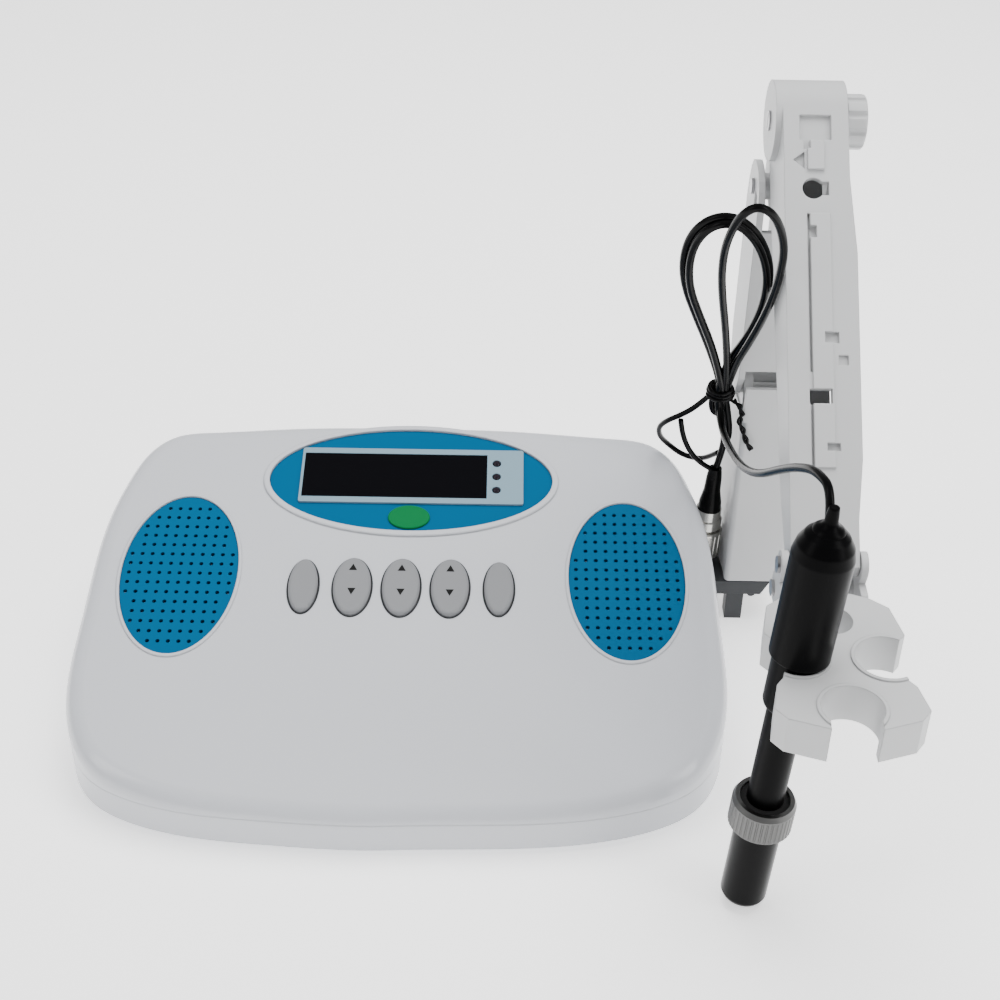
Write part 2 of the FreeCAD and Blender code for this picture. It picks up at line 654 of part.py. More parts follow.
def post():
    """Hollow post with a forked head that holds the lower arm's two pivots."""
    z0 = BRACKET_Z1 + 0.3
    block = box(POST_X0, POST_X1, POST_Y0, POST_Y1, z0, 92.0)
    wedge = polygon([(POST_X0, POST_Y0 + 8, z0), (POST_X0, POST_Y1, z0), (POST_X0 - 1.8, POST_Y1, z0)],
                    V(0, 0, 92.0 - z0))
    upright = [e for e in block.Edges if abs(e.tangentAt(e.FirstParameter).z) > 0.9]
    block = block.makeFillet(2.0, upright).fuse(wedge).removeSplitter()
    hollow = box(POST_X0 + 3, POST_X1 - 3, POST_Y0 + 3, POST_Y1 - 3, z0 + 6, 80.0)
    block = block.cut([hollow, cylinder(SPINDLE_R, (*SWIVEL, 0), Z_AXIS, 41.0 + BRACKET_Z0 - 12)])
    ears = []
    for x0, x1 in ((POST_X0, POST_X0 + 3.2), (POST_X1 - 3.2, POST_X1)):
        corners = [(POST_Y0 + 4.5, 91.0), (POST_Y1, 91.0), (POST_Y1, 98.0),
                   (POST_LINK[0], POST_LINK[1] + 5.0), (POST_MAIN[0], POST_MAIN[1] + 7.5),
                   (POST_Y0 + 6.2, 104.5)]
        ears.append(yz_plate(corners, x0, x1))
        ears.append(cross_pin(POST_MAIN, 7.5, x0, x1))
        ears.append(cross_pin(POST_LINK, 5.0, x0, x1))
    front = box(POST_X0, POST_X1, POST_Y0, POST_Y0 + 1.6, 90.0, POST_TOP)
    sleeve = cross_pin(POST_MAIN, SLEEVE_R, POST_X0, POST_X1)
    bores = [cross_pin(point, PIN_R, 100, 160) for point in (POST_MAIN, POST_LINK)]
    return fuse([block, front, sleeve] + ears).cut(bores)


def lower_arm():
    """Channel-section arm, closed in front, with round ends at its two pivots."""
    x0, x1 = LOWER_ARM_X
    y0 = POST_Y0 + 2.0
    y1, z1 = ELBOW_LOWER
    y2, z2 = POST_MAIN
    side = [(y0, z2 + 4.0), (y0, z1 - 1.0), (y0 + 1.2, z1 + 2.6), (y0 + 3.6, z1 + 5.6),
            (y0 + 7.0, z1 + 7.6), (y0 + 10.5, z1 + 8.5), (y1 + 1.5, z1 + 8.6), (y1 + 5.5, z1 + 7.2),
            (y1 + 8.6, z1 + 3.8), (y1 + 10.6, z1 - 1.0), (y1 + 12.0, z1 - 8.0), (y2 + 12.0, z2 + 12.0),
            (y2 + 7.5, z2 - 6.0), (y2, z2 - 8.5), (y2 - 7.5, z2 - 5.0)]
    block = yz_plate(side, x0, x1)
    inside = box(x0 + ARM_WALL, x1 - ARM_WALL, y0 + ARM_WALL, 100, 60, 220)
    low = box(x0 + ARM_WALL, x1 - ARM_WALL, 0, 100, 60, POST_MAIN[1] + 7.0)
    high = box(x0 + ARM_WALL, x1 - ARM_WALL, 0, 100, ELBOW_LOWER[1] - 11.0, 220)
    square = box(x0 - 1, x0 + ARM_WALL + 1, 47.5, 53.0, ELBOW_LOWER[1] - 5.0, ELBOW_LOWER[1] + 0.5)
    bores = [cross_pin(point, PIN_R + PIN_CLEAR, 100, 160) for point in (POST_MAIN, ELBOW_LOWER)]
    return block.cut([inside, low, high, square] + bores)


LINK_X = (126.0, 136.2)


def pivoted_link(p, q, radius):
    """Inner link of a parallelogram, thinned between its two eyes."""
    link = bar(p, q, radius, *LINK_X)
    bores = [cross_pin(point, PIN_R + PIN_CLEAR, 100, 160) for point in (p, q)]
    return link.cut(bores)


def elbow_block():
    """Two cheeks and a back wall that join the arms and stay level as they move."""
    cheeks = []
    for x0, x1 in ((122.9, 125.3), (136.9, 139.4)):
        cheeks.append(bar(ELBOW_UPPER, ELBOW_LOWER, 8.0, x0, x1))
        cheeks.append(bar(ELBOW_UPPER, ELBOW_LOWER_LINK, 6.0, x0, x1))
        cheeks.append(bar(ELBOW_LOWER, ELBOW_LOWER_LINK, 6.0, x0, x1))
    web = yz_plate([(61.8, 190.5), (64.8, 190.5), (73.2, 177.5), (73.2, 171.2), (71.6, 171.2),
                    (71.6, 176.8)], 123.0, 139.3)
    spacers = []
    for x0, x1 in ((119.7, 123.0), (139.3, 142.3)):
        spacers.append(cross_pin(ELBOW_LOWER, 4.4, x0, x1))
    fixed_pins = (ELBOW_LOWER, ELBOW_LOWER_LINK, ELBOW_UPPER_LINK)
    bores = [cross_pin(point, PIN_R, 100, 160) for point in fixed_pins]
    bores.append(cross_pin(ELBOW_UPPER, AXLE_R + PIN_CLEAR, 100, 160))
    return fuse(cheeks + [web] + spacers).cut(bores)


def face_box(x0, x1, s0, s1, h0, h1):
    """A box on the upper arm's face: across, down the arm from its top, and out of the face."""
    return arm_frame(box(x0, x1, s0, s1, h0, h1))


def face_cut(corners):
    """A deep cut through the upper arm with a plan given across and down its face."""
    return arm_frame(polygon([(x, s, -60) for x, s in corners], V(0, 0, 120)))


def upper_arm():
    """Channel-section arm, open underneath, with the moulded recesses of its face."""
    x0, x1 = UPPER_ARM_X
    up = math.radians(FACE_DEG)
    down = (-math.cos(up), -math.sin(up))
    out = (-math.sin(up), math.cos(up))

    def at(s, h):
        return (FACE_TOP[0] + s * down[0] + h * out[0], FACE_TOP[1] + s * down[1] + h * out[1])

    round_r = 12.75
    profile = [at(4.2, 0), at(ARM_LENGTH, 0), at(ARM_LENGTH + 2.0, -4.0), at(ARM_LENGTH, -8.6),
               at(124.0, -15.5), at(20.0, -25.5), at(4.2, -25.5)]
    outer = fuse([yz_plate(profile, x0, x1), cross_pin(ELBOW_UPPER, round_r, x0, x1)])
    taper = [(UPPER_ARM_NARROW, -40), (UPPER_ARM_NARROW, 28), (x1 + 0.1, 54), (160, 54), (160, -40)]
    end_taper = [(x1 + 0.1, 116), (END_X, 136), (END_X, 175), (160, 175), (160, 116)]
    inner_x = END_X - ARM_WALL
    thick_end = [(UPPER_ARM_INSIDE[1], 116), (inner_x, 136), (inner_x, 175), (160, 175), (160, 116)]
    boss = cross_pin(ELBOW_UPPER, round_r, BOSS_X, x0 + 0.2)
    hollow = [at(4.2, -ARM_WALL), at(ARM_LENGTH - 8.0, -ARM_WALL), at(ARM_LENGTH + 20, -6.0),
              at(ARM_LENGTH + 20, -60), at(0.0, -60), at(0.0, -25)]
    cavity = fuse([yz_plate(hollow, *UPPER_ARM_INSIDE),
                   cross_pin(ELBOW_UPPER, round_r - ARM_WALL, *UPPER_ARM_INSIDE)])
    behind = yz_plate([(54.5, 190.0), (54.5, 216.0), (80, 216), (80, 170), (60, 170)], *UPPER_ARM_INSIDE)
    cavity = cavity.cut(face_cut(thick_end))
    arm = outer.fuse(boss).cut([face_cut(taper), face_cut(end_taper), cavity, behind])
    rib = face_box(128.1, 134.4, 40.0, 120.0, -0.5, 0.7)
    step = face_box(127.7, 132.9, 16.3, 25.8, -0.5, 0.9)
    arm = fuse([arm, rib, step])
    tools = [face_box(125.5, 135.3, 7.7, 15.9, -1.3, 3), face_box(126.7, 128.6, 15.6, 18.9, -1.3, 3),
             face_box(127.3, 128.0, 40.0, 90.4, -1.5, 3), face_box(127.3, 128.0, 100.3, 120.6, -1.5, 3),
             face_box(127.3, 130.0, 44.0, 47.9, -1.2, 3), face_box(131.9, 136.3, 77.8, 81.3, -1.2, 3),
             face_box(136.0, 139.0, 85.1, 88.2, -0.9, 3), face_box(131.9, 136.0, 112.4, 114.8, -1.2, 3),
             face_box(127.0, 133.8, 95.7, 100.3, -5, 3), face_box(129.5, 134.2, 29.6, 34.0, -5, 3)]
    tools.append(arm_frame(cylinder(3.4, (129.4, 31.8, -5), Z_AXIS, 10)))
    arrow = [(123.3, 22.5, -1.2), (126.8, 19.9, -1.2), (126.8, 25.5, -1.2)]
    tools.append(arm_frame(polygon(arrow, V(0, 0, 3))))
    tools.append(cross_pin(ELBOW_UPPER, AXLE_R, 100, 160))
    tools.append(cross_pin(CLIP_MAIN, PIN_R + PIN_CLEAR, 100, 160))
    return arm.cut(tools)


def elbow_axle():
    """Axle of the elbow, held in the upper arm's walls."""
    axle = cross_pin(ELBOW_UPPER, AXLE_R, BOSS_X, KNOB_X[1] - 1.3)
    head = cross_pin(ELBOW_UPPER, 3.2, BOSS_X - 0.6, BOSS_X)
    y, z = ELBOW_UPPER
    slot = box(BOSS_X - 1, BOSS_X - 0.2, y - 0.4, y + 0.4, z - 2.6, z + 2.6)
    return axle.fuse(head).removeSplitter().cut(slot)


def elbow_knob():
    """Lobed clamping knob on the right of the elbow."""
    body = cross_pin(ELBOW_UPPER, 8.75, *KNOB_X)
    rim = [e for e in body.Edges if abs(e.CenterOfMass.x - KNOB_X[1]) < 0.01]
    body = body.makeFillet(1.0, rim)
    flutes = []
    for step in range(10):
        angle = math.radians(step * 36)
        point = (ELBOW_UPPER[0] + 9.3 * math.cos(angle), ELBOW_UPPER[1] + 9.3 * math.sin(angle))
        flutes.append(cross_pin(point, 1.35, 140, 160))
    hub = cross_pin(ELBOW_UPPER, 4.6, UPPER_ARM_NARROW + 0.15, KNOB_X[0] + 0.2)
    bore = cross_pin(ELBOW_UPPER, AXLE_R + PIN_CLEAR, 140, KNOB_X[1] - 1.1)
    return body.cut(flutes).fuse(hub).removeSplitter().cut(bore)


def pins(points, x0, x1, head):
    """Headed pivot pins, one through each point."""
    made_pins = []
    for point in points:
        shaft = cross_pin(point, PIN_R, x0, x1)
        left = cross_pin(point, head, x0 - 0.9, x0 + 0.01)
        made_pins.append(shaft.fuse(left).removeSplitter())
    return Part.makeCompound(made_pins)


def elbow_pins():
    """Long headed pin of the lower arm and the two short pins of the inner links."""
    long_pin = pins([ELBOW_LOWER], 116.9, 145.9, 2.6)
    short_pins = [cross_pin(point, PIN_R, 122.9, 139.4) for point in (ELBOW_LOWER_LINK, ELBOW_UPPER_LINK)]
    return Part.makeCompound(long_pin.Solids + short_pins)


def clip_outline():
    """Plan of the clip's four faceted lobes, before the notches are cut."""
    right = [(4.6, -67.0), (8.5, -68.2), (13.0, -70.0), (18.0, -74.2), (20.2, -86.6), (17.6, -90.0),
             (14.5, -97.0), (17.4, -106.0), (19.4, -108.8), (21.2, -118.4), (18.2, -122.4), (6.4, -126.4)]
    left = [(-x, y) for x, y in reversed(right)]
    return [(CLIP_X + x, y) for x, y in right + left]


def clip_notches():
    """Centre and radius of the two side notches, the front notch and the round hole."""
    return [(LEFT_NOTCH_X, NOTCH_Y, LEFT_NOTCH_R), (RIGHT_NOTCH_X, NOTCH_Y, NOTCH_R),
            (CLIP_X, FRONT_NOTCH_Y, FRONT_NOTCH_R), (CLIP_X, PROBE_HOLE_Y, PROBE_HOLE_R)]


def electrode_clip():
    """Clip with two side notches, a front notch, a round hole and two ears for its pivots."""
    plate = polygon([(x, y, CLIP_Z0) for x, y in clip_outline()], V(0, 0, CLIP_Z1 - CLIP_Z0))
    lip_space = polygon([(x, y, CLIP_Z1 - 1.0) for x, y in clip_outline()], V(0, 0, 1.0 + LIP_HEIGHT))
    for x, y, r in clip_notches()[:3]:
        lip = cylinder(r + LIP_WIDTH, (x, y, CLIP_Z1 - 1.0), Z_AXIS, 1.0 + LIP_HEIGHT).common(lip_space)
        plate = plate.fuse(lip)
    notches = [cylinder(r, (x, y, 80), Z_AXIS, 40) for x, y, r in clip_notches()]
    left_mouth = LEFT_NOTCH_R * 0.82
    right_mouth = NOTCH_R * 0.82
    notches += [box(100, LEFT_NOTCH_X, NOTCH_Y - left_mouth, NOTCH_Y + left_mouth, 80, 120),
                box(RIGHT_NOTCH_X, 160, NOTCH_Y - right_mouth, NOTCH_Y + right_mouth, 80, 120),
                box(CLIP_X - 7.0, CLIP_X + 7.0, -140, FRONT_NOTCH_Y - 4.0, 80, 120)]
    plate = plate.cut(notches)
    ears = []
    for x0, x1 in (LEFT_EAR_X, RIGHT_EAR_X):
        ears.append(bar(CLIP_MAIN, CLIP_LINK, 4.3, x0, x1))
        ears.append(yz_plate([(-60.5, 100.7), (-68.5, 100.0), (-71.0, 98.0), (-71.0, 89.0), (-68.5, 88.0),
                              (-56.0, 88.8)], x0, x1))
    web = box(LEFT_EAR_X[0], RIGHT_EAR_X[1], -71.0, -68.0, 89.0, 99.0)
    root = box(CLIP_X - 9.0, CLIP_X + 9.0, -73.4, -68.0, CLIP_Z0 + 1.0, 98.0)
    bosses = [cross_pin(CLIP_LINK, 3.6, 119.5, 125.7),
              cross_pin(CLIP_LINK, 3.6, 136.5, RIGHT_EAR_X[0] + 0.2)]
    bores = [cross_pin(point, PIN_R, 100, 160) for point in (CLIP_MAIN, CLIP_LINK)]
    return fuse([plate] + ears + [web, root] + bosses).cut(bores)


# ---------------------------------------------------------------- electrode
def electrode_cap():
    """Domed cap with a narrower collar that rests in the clip."""
    profile = [(2.2, CAP_TOP), (2.2, CAP_TOP - 6), (0, CAP_TOP - 6), (0, COLLAR_BOTTOM),
               (7.2, COLLAR_BOTTOM), (7.5, COLLAR_BOTTOM + 1.0), (7.5, CAP_BOTTOM), (8.8, CAP_BOTTOM),
               (8.8, CAP_TOP - 8.0), (8.0, CAP_TOP - 4.6), (6.3, CAP_TOP - 1.6), (4.6, CAP_TOP)]
    cap = revolved(profile)
    socket = cylinder(BODY_R, (0, 0, COLLAR_BOTTOM - 1), Z_AXIS, 13)
    return leaning(cap.cut(socket))


def electrode_body():
    """Plastic barrel with a slotted guard round the bulb."""
    barrel = cylinder(BODY_R, (0, 0, 9.0), Z_AXIS, COLLAR_BOTTOM + 12 - 9.0)
    bore = cylinder(4.6, (0, 0, 8.0), Z_AXIS, 22)
    slots = [box(-7, 7, -1.5, 1.5, 8, 17), box(-1.5, 1.5, -7, 7, 8, 17)]
    return leaning(barrel.cut([bore] + slots))


def sensing_bulb():
    """Glass stem and bulb."""
    stem = cylinder(3.0, (0, 0, 13.5), Z_AXIS, 16.5)
    return leaning(stem.fuse(Part.makeSphere(4.2, V(0, 0, 14.0))).removeSplitter())


def storage_bottle():
    """Screw bottle that keeps the bulb wet."""
    profile = [(0, 0), (5.8, 0), (6.8, 0.5), (BOTTLE_R, 1.6), (BOTTLE_R, RING_Z[0] - 2.0),
               (BOTTLE_R - 0.1, RING_Z[0] - 0.2), (7.6, RING_Z[0] - 0.2), (7.6, BOTTLE_MOUTH),
               (BODY_R + 0.3, BOTTLE_MOUTH), (BODY_R + 0.3, 2.0), (0, 2.0)]
    return leaning(revolved(profile))


def bottle_ring():
    """Knurled clamping ring of the bottle."""
    low, high = RING_Z
    body = revolved([(7.65, low), (9.2, low), (RING_R, low + 0.6), (RING_R, high - 1.6), (9.0, high),
                     (7.65, high)])
    grooves = []
    for step in range(40):
        angle = math.radians(step * 9)
        foot = ((RING_R + 0.08) * math.cos(angle), (RING_R + 0.08) * math.sin(angle), low - 1)
        grooves.append(cylinder(0.36, foot, Z_AXIS, high - low - 1.0))
    return leaning(body.cut(Part.makeCompound(grooves)))


def bottle_seal():
    """Rubber seal between the bottle and the electrode, seen inside the ring."""
    bottom, top = BOTTLE_MOUTH + 0.3, RING_Z[1] - 0.8
    inside = BODY_R + 0.05
    return leaning(revolved([(inside, bottom), (7.6, bottom), (7.6, top), (inside, top + 0.4)]))


# ---------------------------------------------------------------- cable
TIE = (111.2, 45.6, 101.0)

# centre line of the cable from the knot to the electrode's cap
ELECTRODE_LEAD = [(111.6, 46.6, 98.6), (111.8, 41.0, 91.2), (112.1, 31.0, 91.4), (112.3, 16.0, 95.4),
                  (112.5, -3.0, 102.4), (112.9, -21.0, 111.4), (113.6, -38.0, 122.2),
                  (115.2, -54.0, 134.6), (117.0, -69.0, 145.6), (119.2, -82.5, 153.6),
                  (121.9, -94.0, 154.4), (121.35, -97.0, 141.0)]

# thin lead that leaves the knot, hangs behind the console's corner and comes back to the bundle
SIDE_LEAD = [(107.4, 46.2, 98.5), (103.6, 48.0, 92.8), (98.6, 50.6, 87.6), (94.4, 54.0, 83.2),
             (92.2, 59.5, 77.0), (93.4, 65.0, 69.5), (97.4, 69.5, 63.0), (102.8, 70.0, 58.2),
             (108.4, 66.6, 58.4), (112.0, 61.4, 62.6), (114.4, 55.6, 68.6)]

# thin lead that branches from the other and ends in the plug's boot
BRANCH_LEAD = [(98.9, 50.0, 86.0), (99.8, 50.8, 80.4), (102.4, 52.4, 73.0), (106.0, 54.4, 66.8),
               (110.2, 55.8, 62.4), (113.8, 56.2, 60.2)]


# outlines of the bundle's two loops, each in its own leaning plane, as (x, height up the plane)
BIG_LOOP_TILT = 0.47
BIG_LOOP_OUTSIDE = [(108.6, 1), (105.6, 12), (101.2, 28), (94.8, 45), (90.2, 59), (88.2, 72), (88.8, 84.5),
                    (92.8, 93.6), (99.4, 97.4), (106.6, 96.2), (112.6, 90.6), (117.0, 81), (119.9, 70),
                    (120.0, 57), (120.0, 45), (118.6, 31.5), (115.2, 18.5), (113.2, 1)]
BIG_LOOP_INSIDE = [(106.9, 29), (101.4, 45.7), (96.9, 59.9), (95.2, 71.6), (95.8, 81), (98, 86.4),
                   (101, 88.9), (104.8, 87.9), (108.3, 83.2), (111.9, 76), (114.2, 67.3),
                   (115.0, 57.6), (114.3, 46.9), (112.2, 34.5), (109.9, 25)]
SMALL_LOOP_TILT = 0.62
SMALL_LOOP_OUTSIDE = [(110.2, 2), (109.5, 18.5), (105.4, 44.4), (101.3, 66.8), (99.3, 81.1),
                      (98.6, 94.7), (99.4, 106.5), (102.2, 115.4), (107.3, 118.6), (112.9, 114.4),
                      (117.0, 104.7), (119.5, 93.8), (120.1, 81.8), (120.1, 69), (119.5, 54.7),
                      (117.4, 38.1), (114.9, 20.8), (113.8, 2)]
SMALL_LOOP_INSIDE = [(112.0, 26), (108.8, 45), (104.7, 67.4), (102.7, 81.5), (102.0, 94.5),
                     (102.8, 105.5), (104.4, 112.6), (106.9, 114.8), (110.5, 111.7), (114.0, 103.5),
                     (116.2, 93.1), (117.0, 81.6), (117.1, 69.2), (116.2, 55.1), (114.1, 38.7)]


def loop_ring(outside, inside, tilt, half_thick):
    """A flat ring round one loop of the bundle, leaning forward from the tie."""
    ring = polygon([(x, up, -half_thick) for x, up in outside], V(0, 0, 2 * half_thick))
    ring = ring.cut(polygon([(x, up, -9) for x, up in inside], V(0, 0, 18)))
    ring.rotate(V(0, 0, 0), X_AXIS, 90.0 + math.degrees(math.atan(tilt)))
    ring.translate(V(0, 45.0, TIE[2]))
    return ring


def cable_hank():
    """Outer shape of the tied bundle: two leaning loops, the bound neck and the strands below it."""
    loops = [loop_ring(BIG_LOOP_OUTSIDE, BIG_LOOP_INSIDE, BIG_LOOP_TILT, 2.6),
             loop_ring(SMALL_LOOP_OUTSIDE, SMALL_LOOP_INSIDE, SMALL_LOOP_TILT, 1.5)]
    neck = Part.makeCone(4.1, 4.4, 7.0, V(111.2, 45.4, 100.0), V(0.0, -0.2, 1.0))
    top, bottom = V(111.2, 45.6, 101.5), V(*PLUG_TOP) + V(0.2, 0, 4.0)
    strands = Part.makeCone(3.9, 2.4, (top - bottom).Length, top, bottom - top)
    return loops[0].fuse(loops[1]).fuse(neck).fuse(strands)


def cable_tie():
    """Wire tie round the neck of the bundle."""
    return Part.makeTorus(4.6, 0.8, V(TIE[0], TIE[1], TIE[2] + 1.2), V(0.0, -0.2, 1.0))


def plug_boot():
    """Tapered rubber strain relief of the cable plug."""
    profile = [(0, -4.0), (2.4, -4.0), (2.9, 0.0), (3.2, 6.0), (4.2, 11.0), (4.4, 14.0), (0, 14.0)]
    return hanging(revolved(profile))


def plug_body():
    """Metal body of the cable plug."""
    profile = [(0, 14.0), (4.75, 14.0), (4.75, 18.0), (5.4, 18.5), (5.4, 22.0), (4.9, 22.5),
               (4.9, PLUG_LENGTH - 1.5), (4.2, PLUG_LENGTH - 1.5), (4.2, 27.0), (0, 27.0)]
    pin = cylinder(0.7, (0, 0, 26.0), Z_AXIS, PLUG_LENGTH - 29.0)
    return hanging(revolved(profile).fuse(pin).removeSplitter())


def plug_coupling():
    """Bayonet ring that turns on the plug's body."""
    profile = [(4.97, 23.0), (5.7, 23.0), (6.2, 23.6), (6.2, PLUG_LENGTH - 3.4), (5.7, PLUG_LENGTH - 2.8),
               (4.97, PLUG_LENGTH - 2.8)]
    ring = revolved(profile)
    flutes = []
    for step in range(18):
        angle = math.radians(step * 20)
        foot = (6.3 * math.cos(angle), 6.3 * math.sin(angle), 24.2)
        flutes.append(cylinder(0.45, foot, Z_AXIS, PLUG_LENGTH - 28.4))
    return hanging(ring.cut(Part.makeCompound(flutes)))


# ---------------------------------------------------------------- assembly
KEYS = ["key_confirm", "key_temperature", "key_slope", "key_standard", "key_mode"]


def build_console():
    save("base_case", base_case())
    save("top_case", top_case())
    save("display_panel", display_panel())
    save("display_bezel", display_bezel())
    save("display_window", display_window())
    save("display_module", display_module())
    save("indicator_leds", indicator_leds())
    save("badge", badge())
    for number, name in enumerate(KEYS):
        save(name, key_cap(number))
    save("key_switches", key_switches())
    save("key_board", key_board())
    save("left_grille", grille(-1))
    save("right_grille", grille(1))
    save("rubber_feet", rubber_feet())
    save("case_screws", case_screws())
    save("main_board", main_board())
    save("board_chips", board_chips())
    save("amplifier_shield", amplifier_shield())
    save("transformer", transformer())


def build_rear():
    save("rear_panel", rear_panel())
    save("power_inlet", power_inlet())
    save("power_switch", power_switch())
    save("power_rocker", power_rocker())
    save("fuse_holder", fuse_holder())
    save("input_socket", input_socket())
    save("reference_terminal", reference_terminal())
    save("terminal_nut", terminal_nut())


def build_arm():
    save("arm_bracket", arm_bracket())
    save("bracket_feet", bracket_feet())
    save("post_spindle", post_spindle())
    save("post", post())
    save("post_pins", post_pins())
    save("lower_arm", lower_arm())
    save("lower_link", pivoted_link(POST_LINK, ELBOW_LOWER_LINK, 4.0))
    save("elbow_block", elbow_block())
    save("elbow_pins", elbow_pins())
    save("upper_arm", upper_arm())
    save("upper_link", pivoted_link(ELBOW_UPPER_LINK, CLIP_LINK, 3.6))
    save("elbow_axle", elbow_axle())
    save("elbow_knob", elbow_knob())
    save("clip_pins", pins([CLIP_MAIN, CLIP_LINK], 117.6, 143.8, 2.6))
    save("electrode_clip", electrode_clip())


def build_electrode():
    save("electrode_cap", electrode_cap())
    save("electrode_body", electrode_body())
    save("sensing_bulb", sensing_bulb())
    save("storage_bottle", storage_bottle())
    save("bottle_ring", bottle_ring())
    save("bottle_seal", bottle_seal())


def build_cable():
    save("electrode_lead", cord_tube("electrode_lead", ELECTRODE_LEAD, CABLE_R))
    save("side_lead", cord_tube("side_lead", SIDE_LEAD, LEAD_R))
    save("branch_lead", cord_tube("branch_lead", BRANCH_LEAD, LEAD_R))
    save("cable_hank", cable_hank())
    save("cable_tie", cable_tie())
    save("plug_boot", plug_boot())
    save("plug_body", plug_body())
    save("plug_coupling", plug_coupling())


build_console()
build_rear()
build_arm()
build_electrode()
build_cable()
print(f"{len(made)} nodes")
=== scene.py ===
"""Looks, cables and studio for the bench pH meter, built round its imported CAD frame.

Positions are in the row frame, in metres, unless a name says mm: console coordinates in
millimetres (X right, Y back, Z up from the table, X = 0 on the console's centre line).
"""

import json
import math

import bpy
from mathutils import Matrix, Vector


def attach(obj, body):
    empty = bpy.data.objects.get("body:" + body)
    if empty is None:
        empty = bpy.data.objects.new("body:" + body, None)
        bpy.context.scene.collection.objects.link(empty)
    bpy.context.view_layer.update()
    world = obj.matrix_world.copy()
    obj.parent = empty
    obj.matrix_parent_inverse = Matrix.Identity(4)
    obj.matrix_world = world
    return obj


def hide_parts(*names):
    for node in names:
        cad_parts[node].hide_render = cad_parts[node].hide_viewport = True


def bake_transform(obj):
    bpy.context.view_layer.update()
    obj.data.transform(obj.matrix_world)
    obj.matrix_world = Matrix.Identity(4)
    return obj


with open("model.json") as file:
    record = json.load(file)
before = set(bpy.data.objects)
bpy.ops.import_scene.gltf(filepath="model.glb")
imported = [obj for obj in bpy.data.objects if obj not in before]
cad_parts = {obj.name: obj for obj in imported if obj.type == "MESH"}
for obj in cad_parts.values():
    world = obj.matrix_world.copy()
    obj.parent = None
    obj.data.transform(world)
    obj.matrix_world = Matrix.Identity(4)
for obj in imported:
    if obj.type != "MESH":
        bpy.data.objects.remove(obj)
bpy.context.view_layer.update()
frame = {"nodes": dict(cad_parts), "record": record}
NODES = frame["nodes"]
ORIGIN_MM = Vector((19.5, -21.3, 0.0))      # the row frame's origin in console coordinates
SLOPE = math.atan(0.29)                      # slope of the console's top
TOP_AT_ZERO = 41.75                          # height of the top above the console's origin
TIP_MM = Vector((112.6, -97.0, 3.0))         # the electrode's tip and its lean
LEAN = math.radians(3.6)


def row(x, y, z):
    """A point in console millimetres as a point in the row frame."""
    return (Vector((x, y, z)) - ORIGIN_MM) / 1000


def slope_point(x, s, n):
    """A point on the console's top: across, up the slope and out of it, in millimetres."""
    return row(x, s * math.cos(SLOPE) - n * math.sin(SLOPE),
               TOP_AT_ZERO + s * math.sin(SLOPE) + n * math.cos(SLOPE))


def electrode_point(r, angle, up):
    """A point round the electrode's axis, in millimetres from its tip."""
    local = Vector((r * math.cos(angle), r * math.sin(angle), up))
    return row(*(TIP_MM + Matrix.Rotation(LEAN, 3, "Y") @ local))


# ---------------------------------------------------------------- camera
def add_camera():
    data = bpy.data.cameras.new("Camera")
    data.lens = 57.6
    data.sensor_width = 36.0
    data.dof.use_dof = False
    data.clip_start = 0.01
    camera = bpy.data.objects.new("Camera", data)
    turn = Matrix.Rotation(math.radians(55.0), 4, "X") @ Matrix.Rotation(math.radians(0.9), 4, "Z")
    camera.matrix_world = Matrix.Translation(row(34.0, -441.0, 393.2)) @ turn
    bpy.context.collection.objects.link(camera)
    bpy.context.scene.camera = camera


add_camera()


# ---------------------------------------------------------------- materials
def material(name, color, rough=0.5, metal=0.0, coat=0.0, shine=0.5, bump=0.0, mottle=0.0,
             edge=0.0):
    """A principled material with an optional fine bump, uneven polish and softened edges."""
    m = bpy.data.materials.new(name)
    m.use_nodes = True
    nodes, links = m.node_tree.nodes, m.node_tree.links
    shader = nodes["Principled BSDF"]
    shader.inputs["Base Color"].default_value = (*color, 1.0)
    shader.inputs["Roughness"].default_value = rough
    shader.inputs["Metallic"].default_value = metal
    shader.inputs["Specular IOR Level"].default_value = shine
    shader.inputs["Coat Weight"].default_value = coat
    shader.inputs["Coat Roughness"].default_value = 0.06
    coordinates = nodes.new("ShaderNodeTexCoord")
    rounded = None
    if edge:
        bevel = nodes.new("ShaderNodeBevel")
        bevel.samples = 6
        bevel.inputs["Radius"].default_value = edge
        rounded = bevel.outputs["Normal"]
        links.new(rounded, shader.inputs["Normal"])
    if bump:
        noise = nodes.new("ShaderNodeTexNoise")
        noise.inputs["Scale"].default_value = 400.0
        links.new(coordinates.outputs["Object"], noise.inputs["Vector"])
        relief = nodes.new("ShaderNodeBump")
        relief.inputs["Strength"].default_value = bump
        relief.inputs["Distance"].default_value = 0.0002
        links.new(noise.outputs["Fac"], relief.inputs["Height"])
        if rounded:
            links.new(rounded, relief.inputs["Normal"])
        links.new(relief.outputs["Normal"], shader.inputs["Normal"])
    if mottle:
        clouds = nodes.new("ShaderNodeTexNoise")
        clouds.inputs["Scale"].default_value = 18.0
        clouds.inputs["Detail"].default_value = 4.0
        links.new(coordinates.outputs["Object"], clouds.inputs["Vector"])
        ramp = nodes.new("ShaderNodeMapRange")
        ramp.inputs["To Min"].default_value = rough * (1 - mottle)
        ramp.inputs["To Max"].default_value = rough * (1 + mottle)
        links.new(clouds.outputs["Fac"], ramp.inputs["Value"])
        links.new(ramp.outputs["Result"], shader.inputs["Roughness"])
    return m


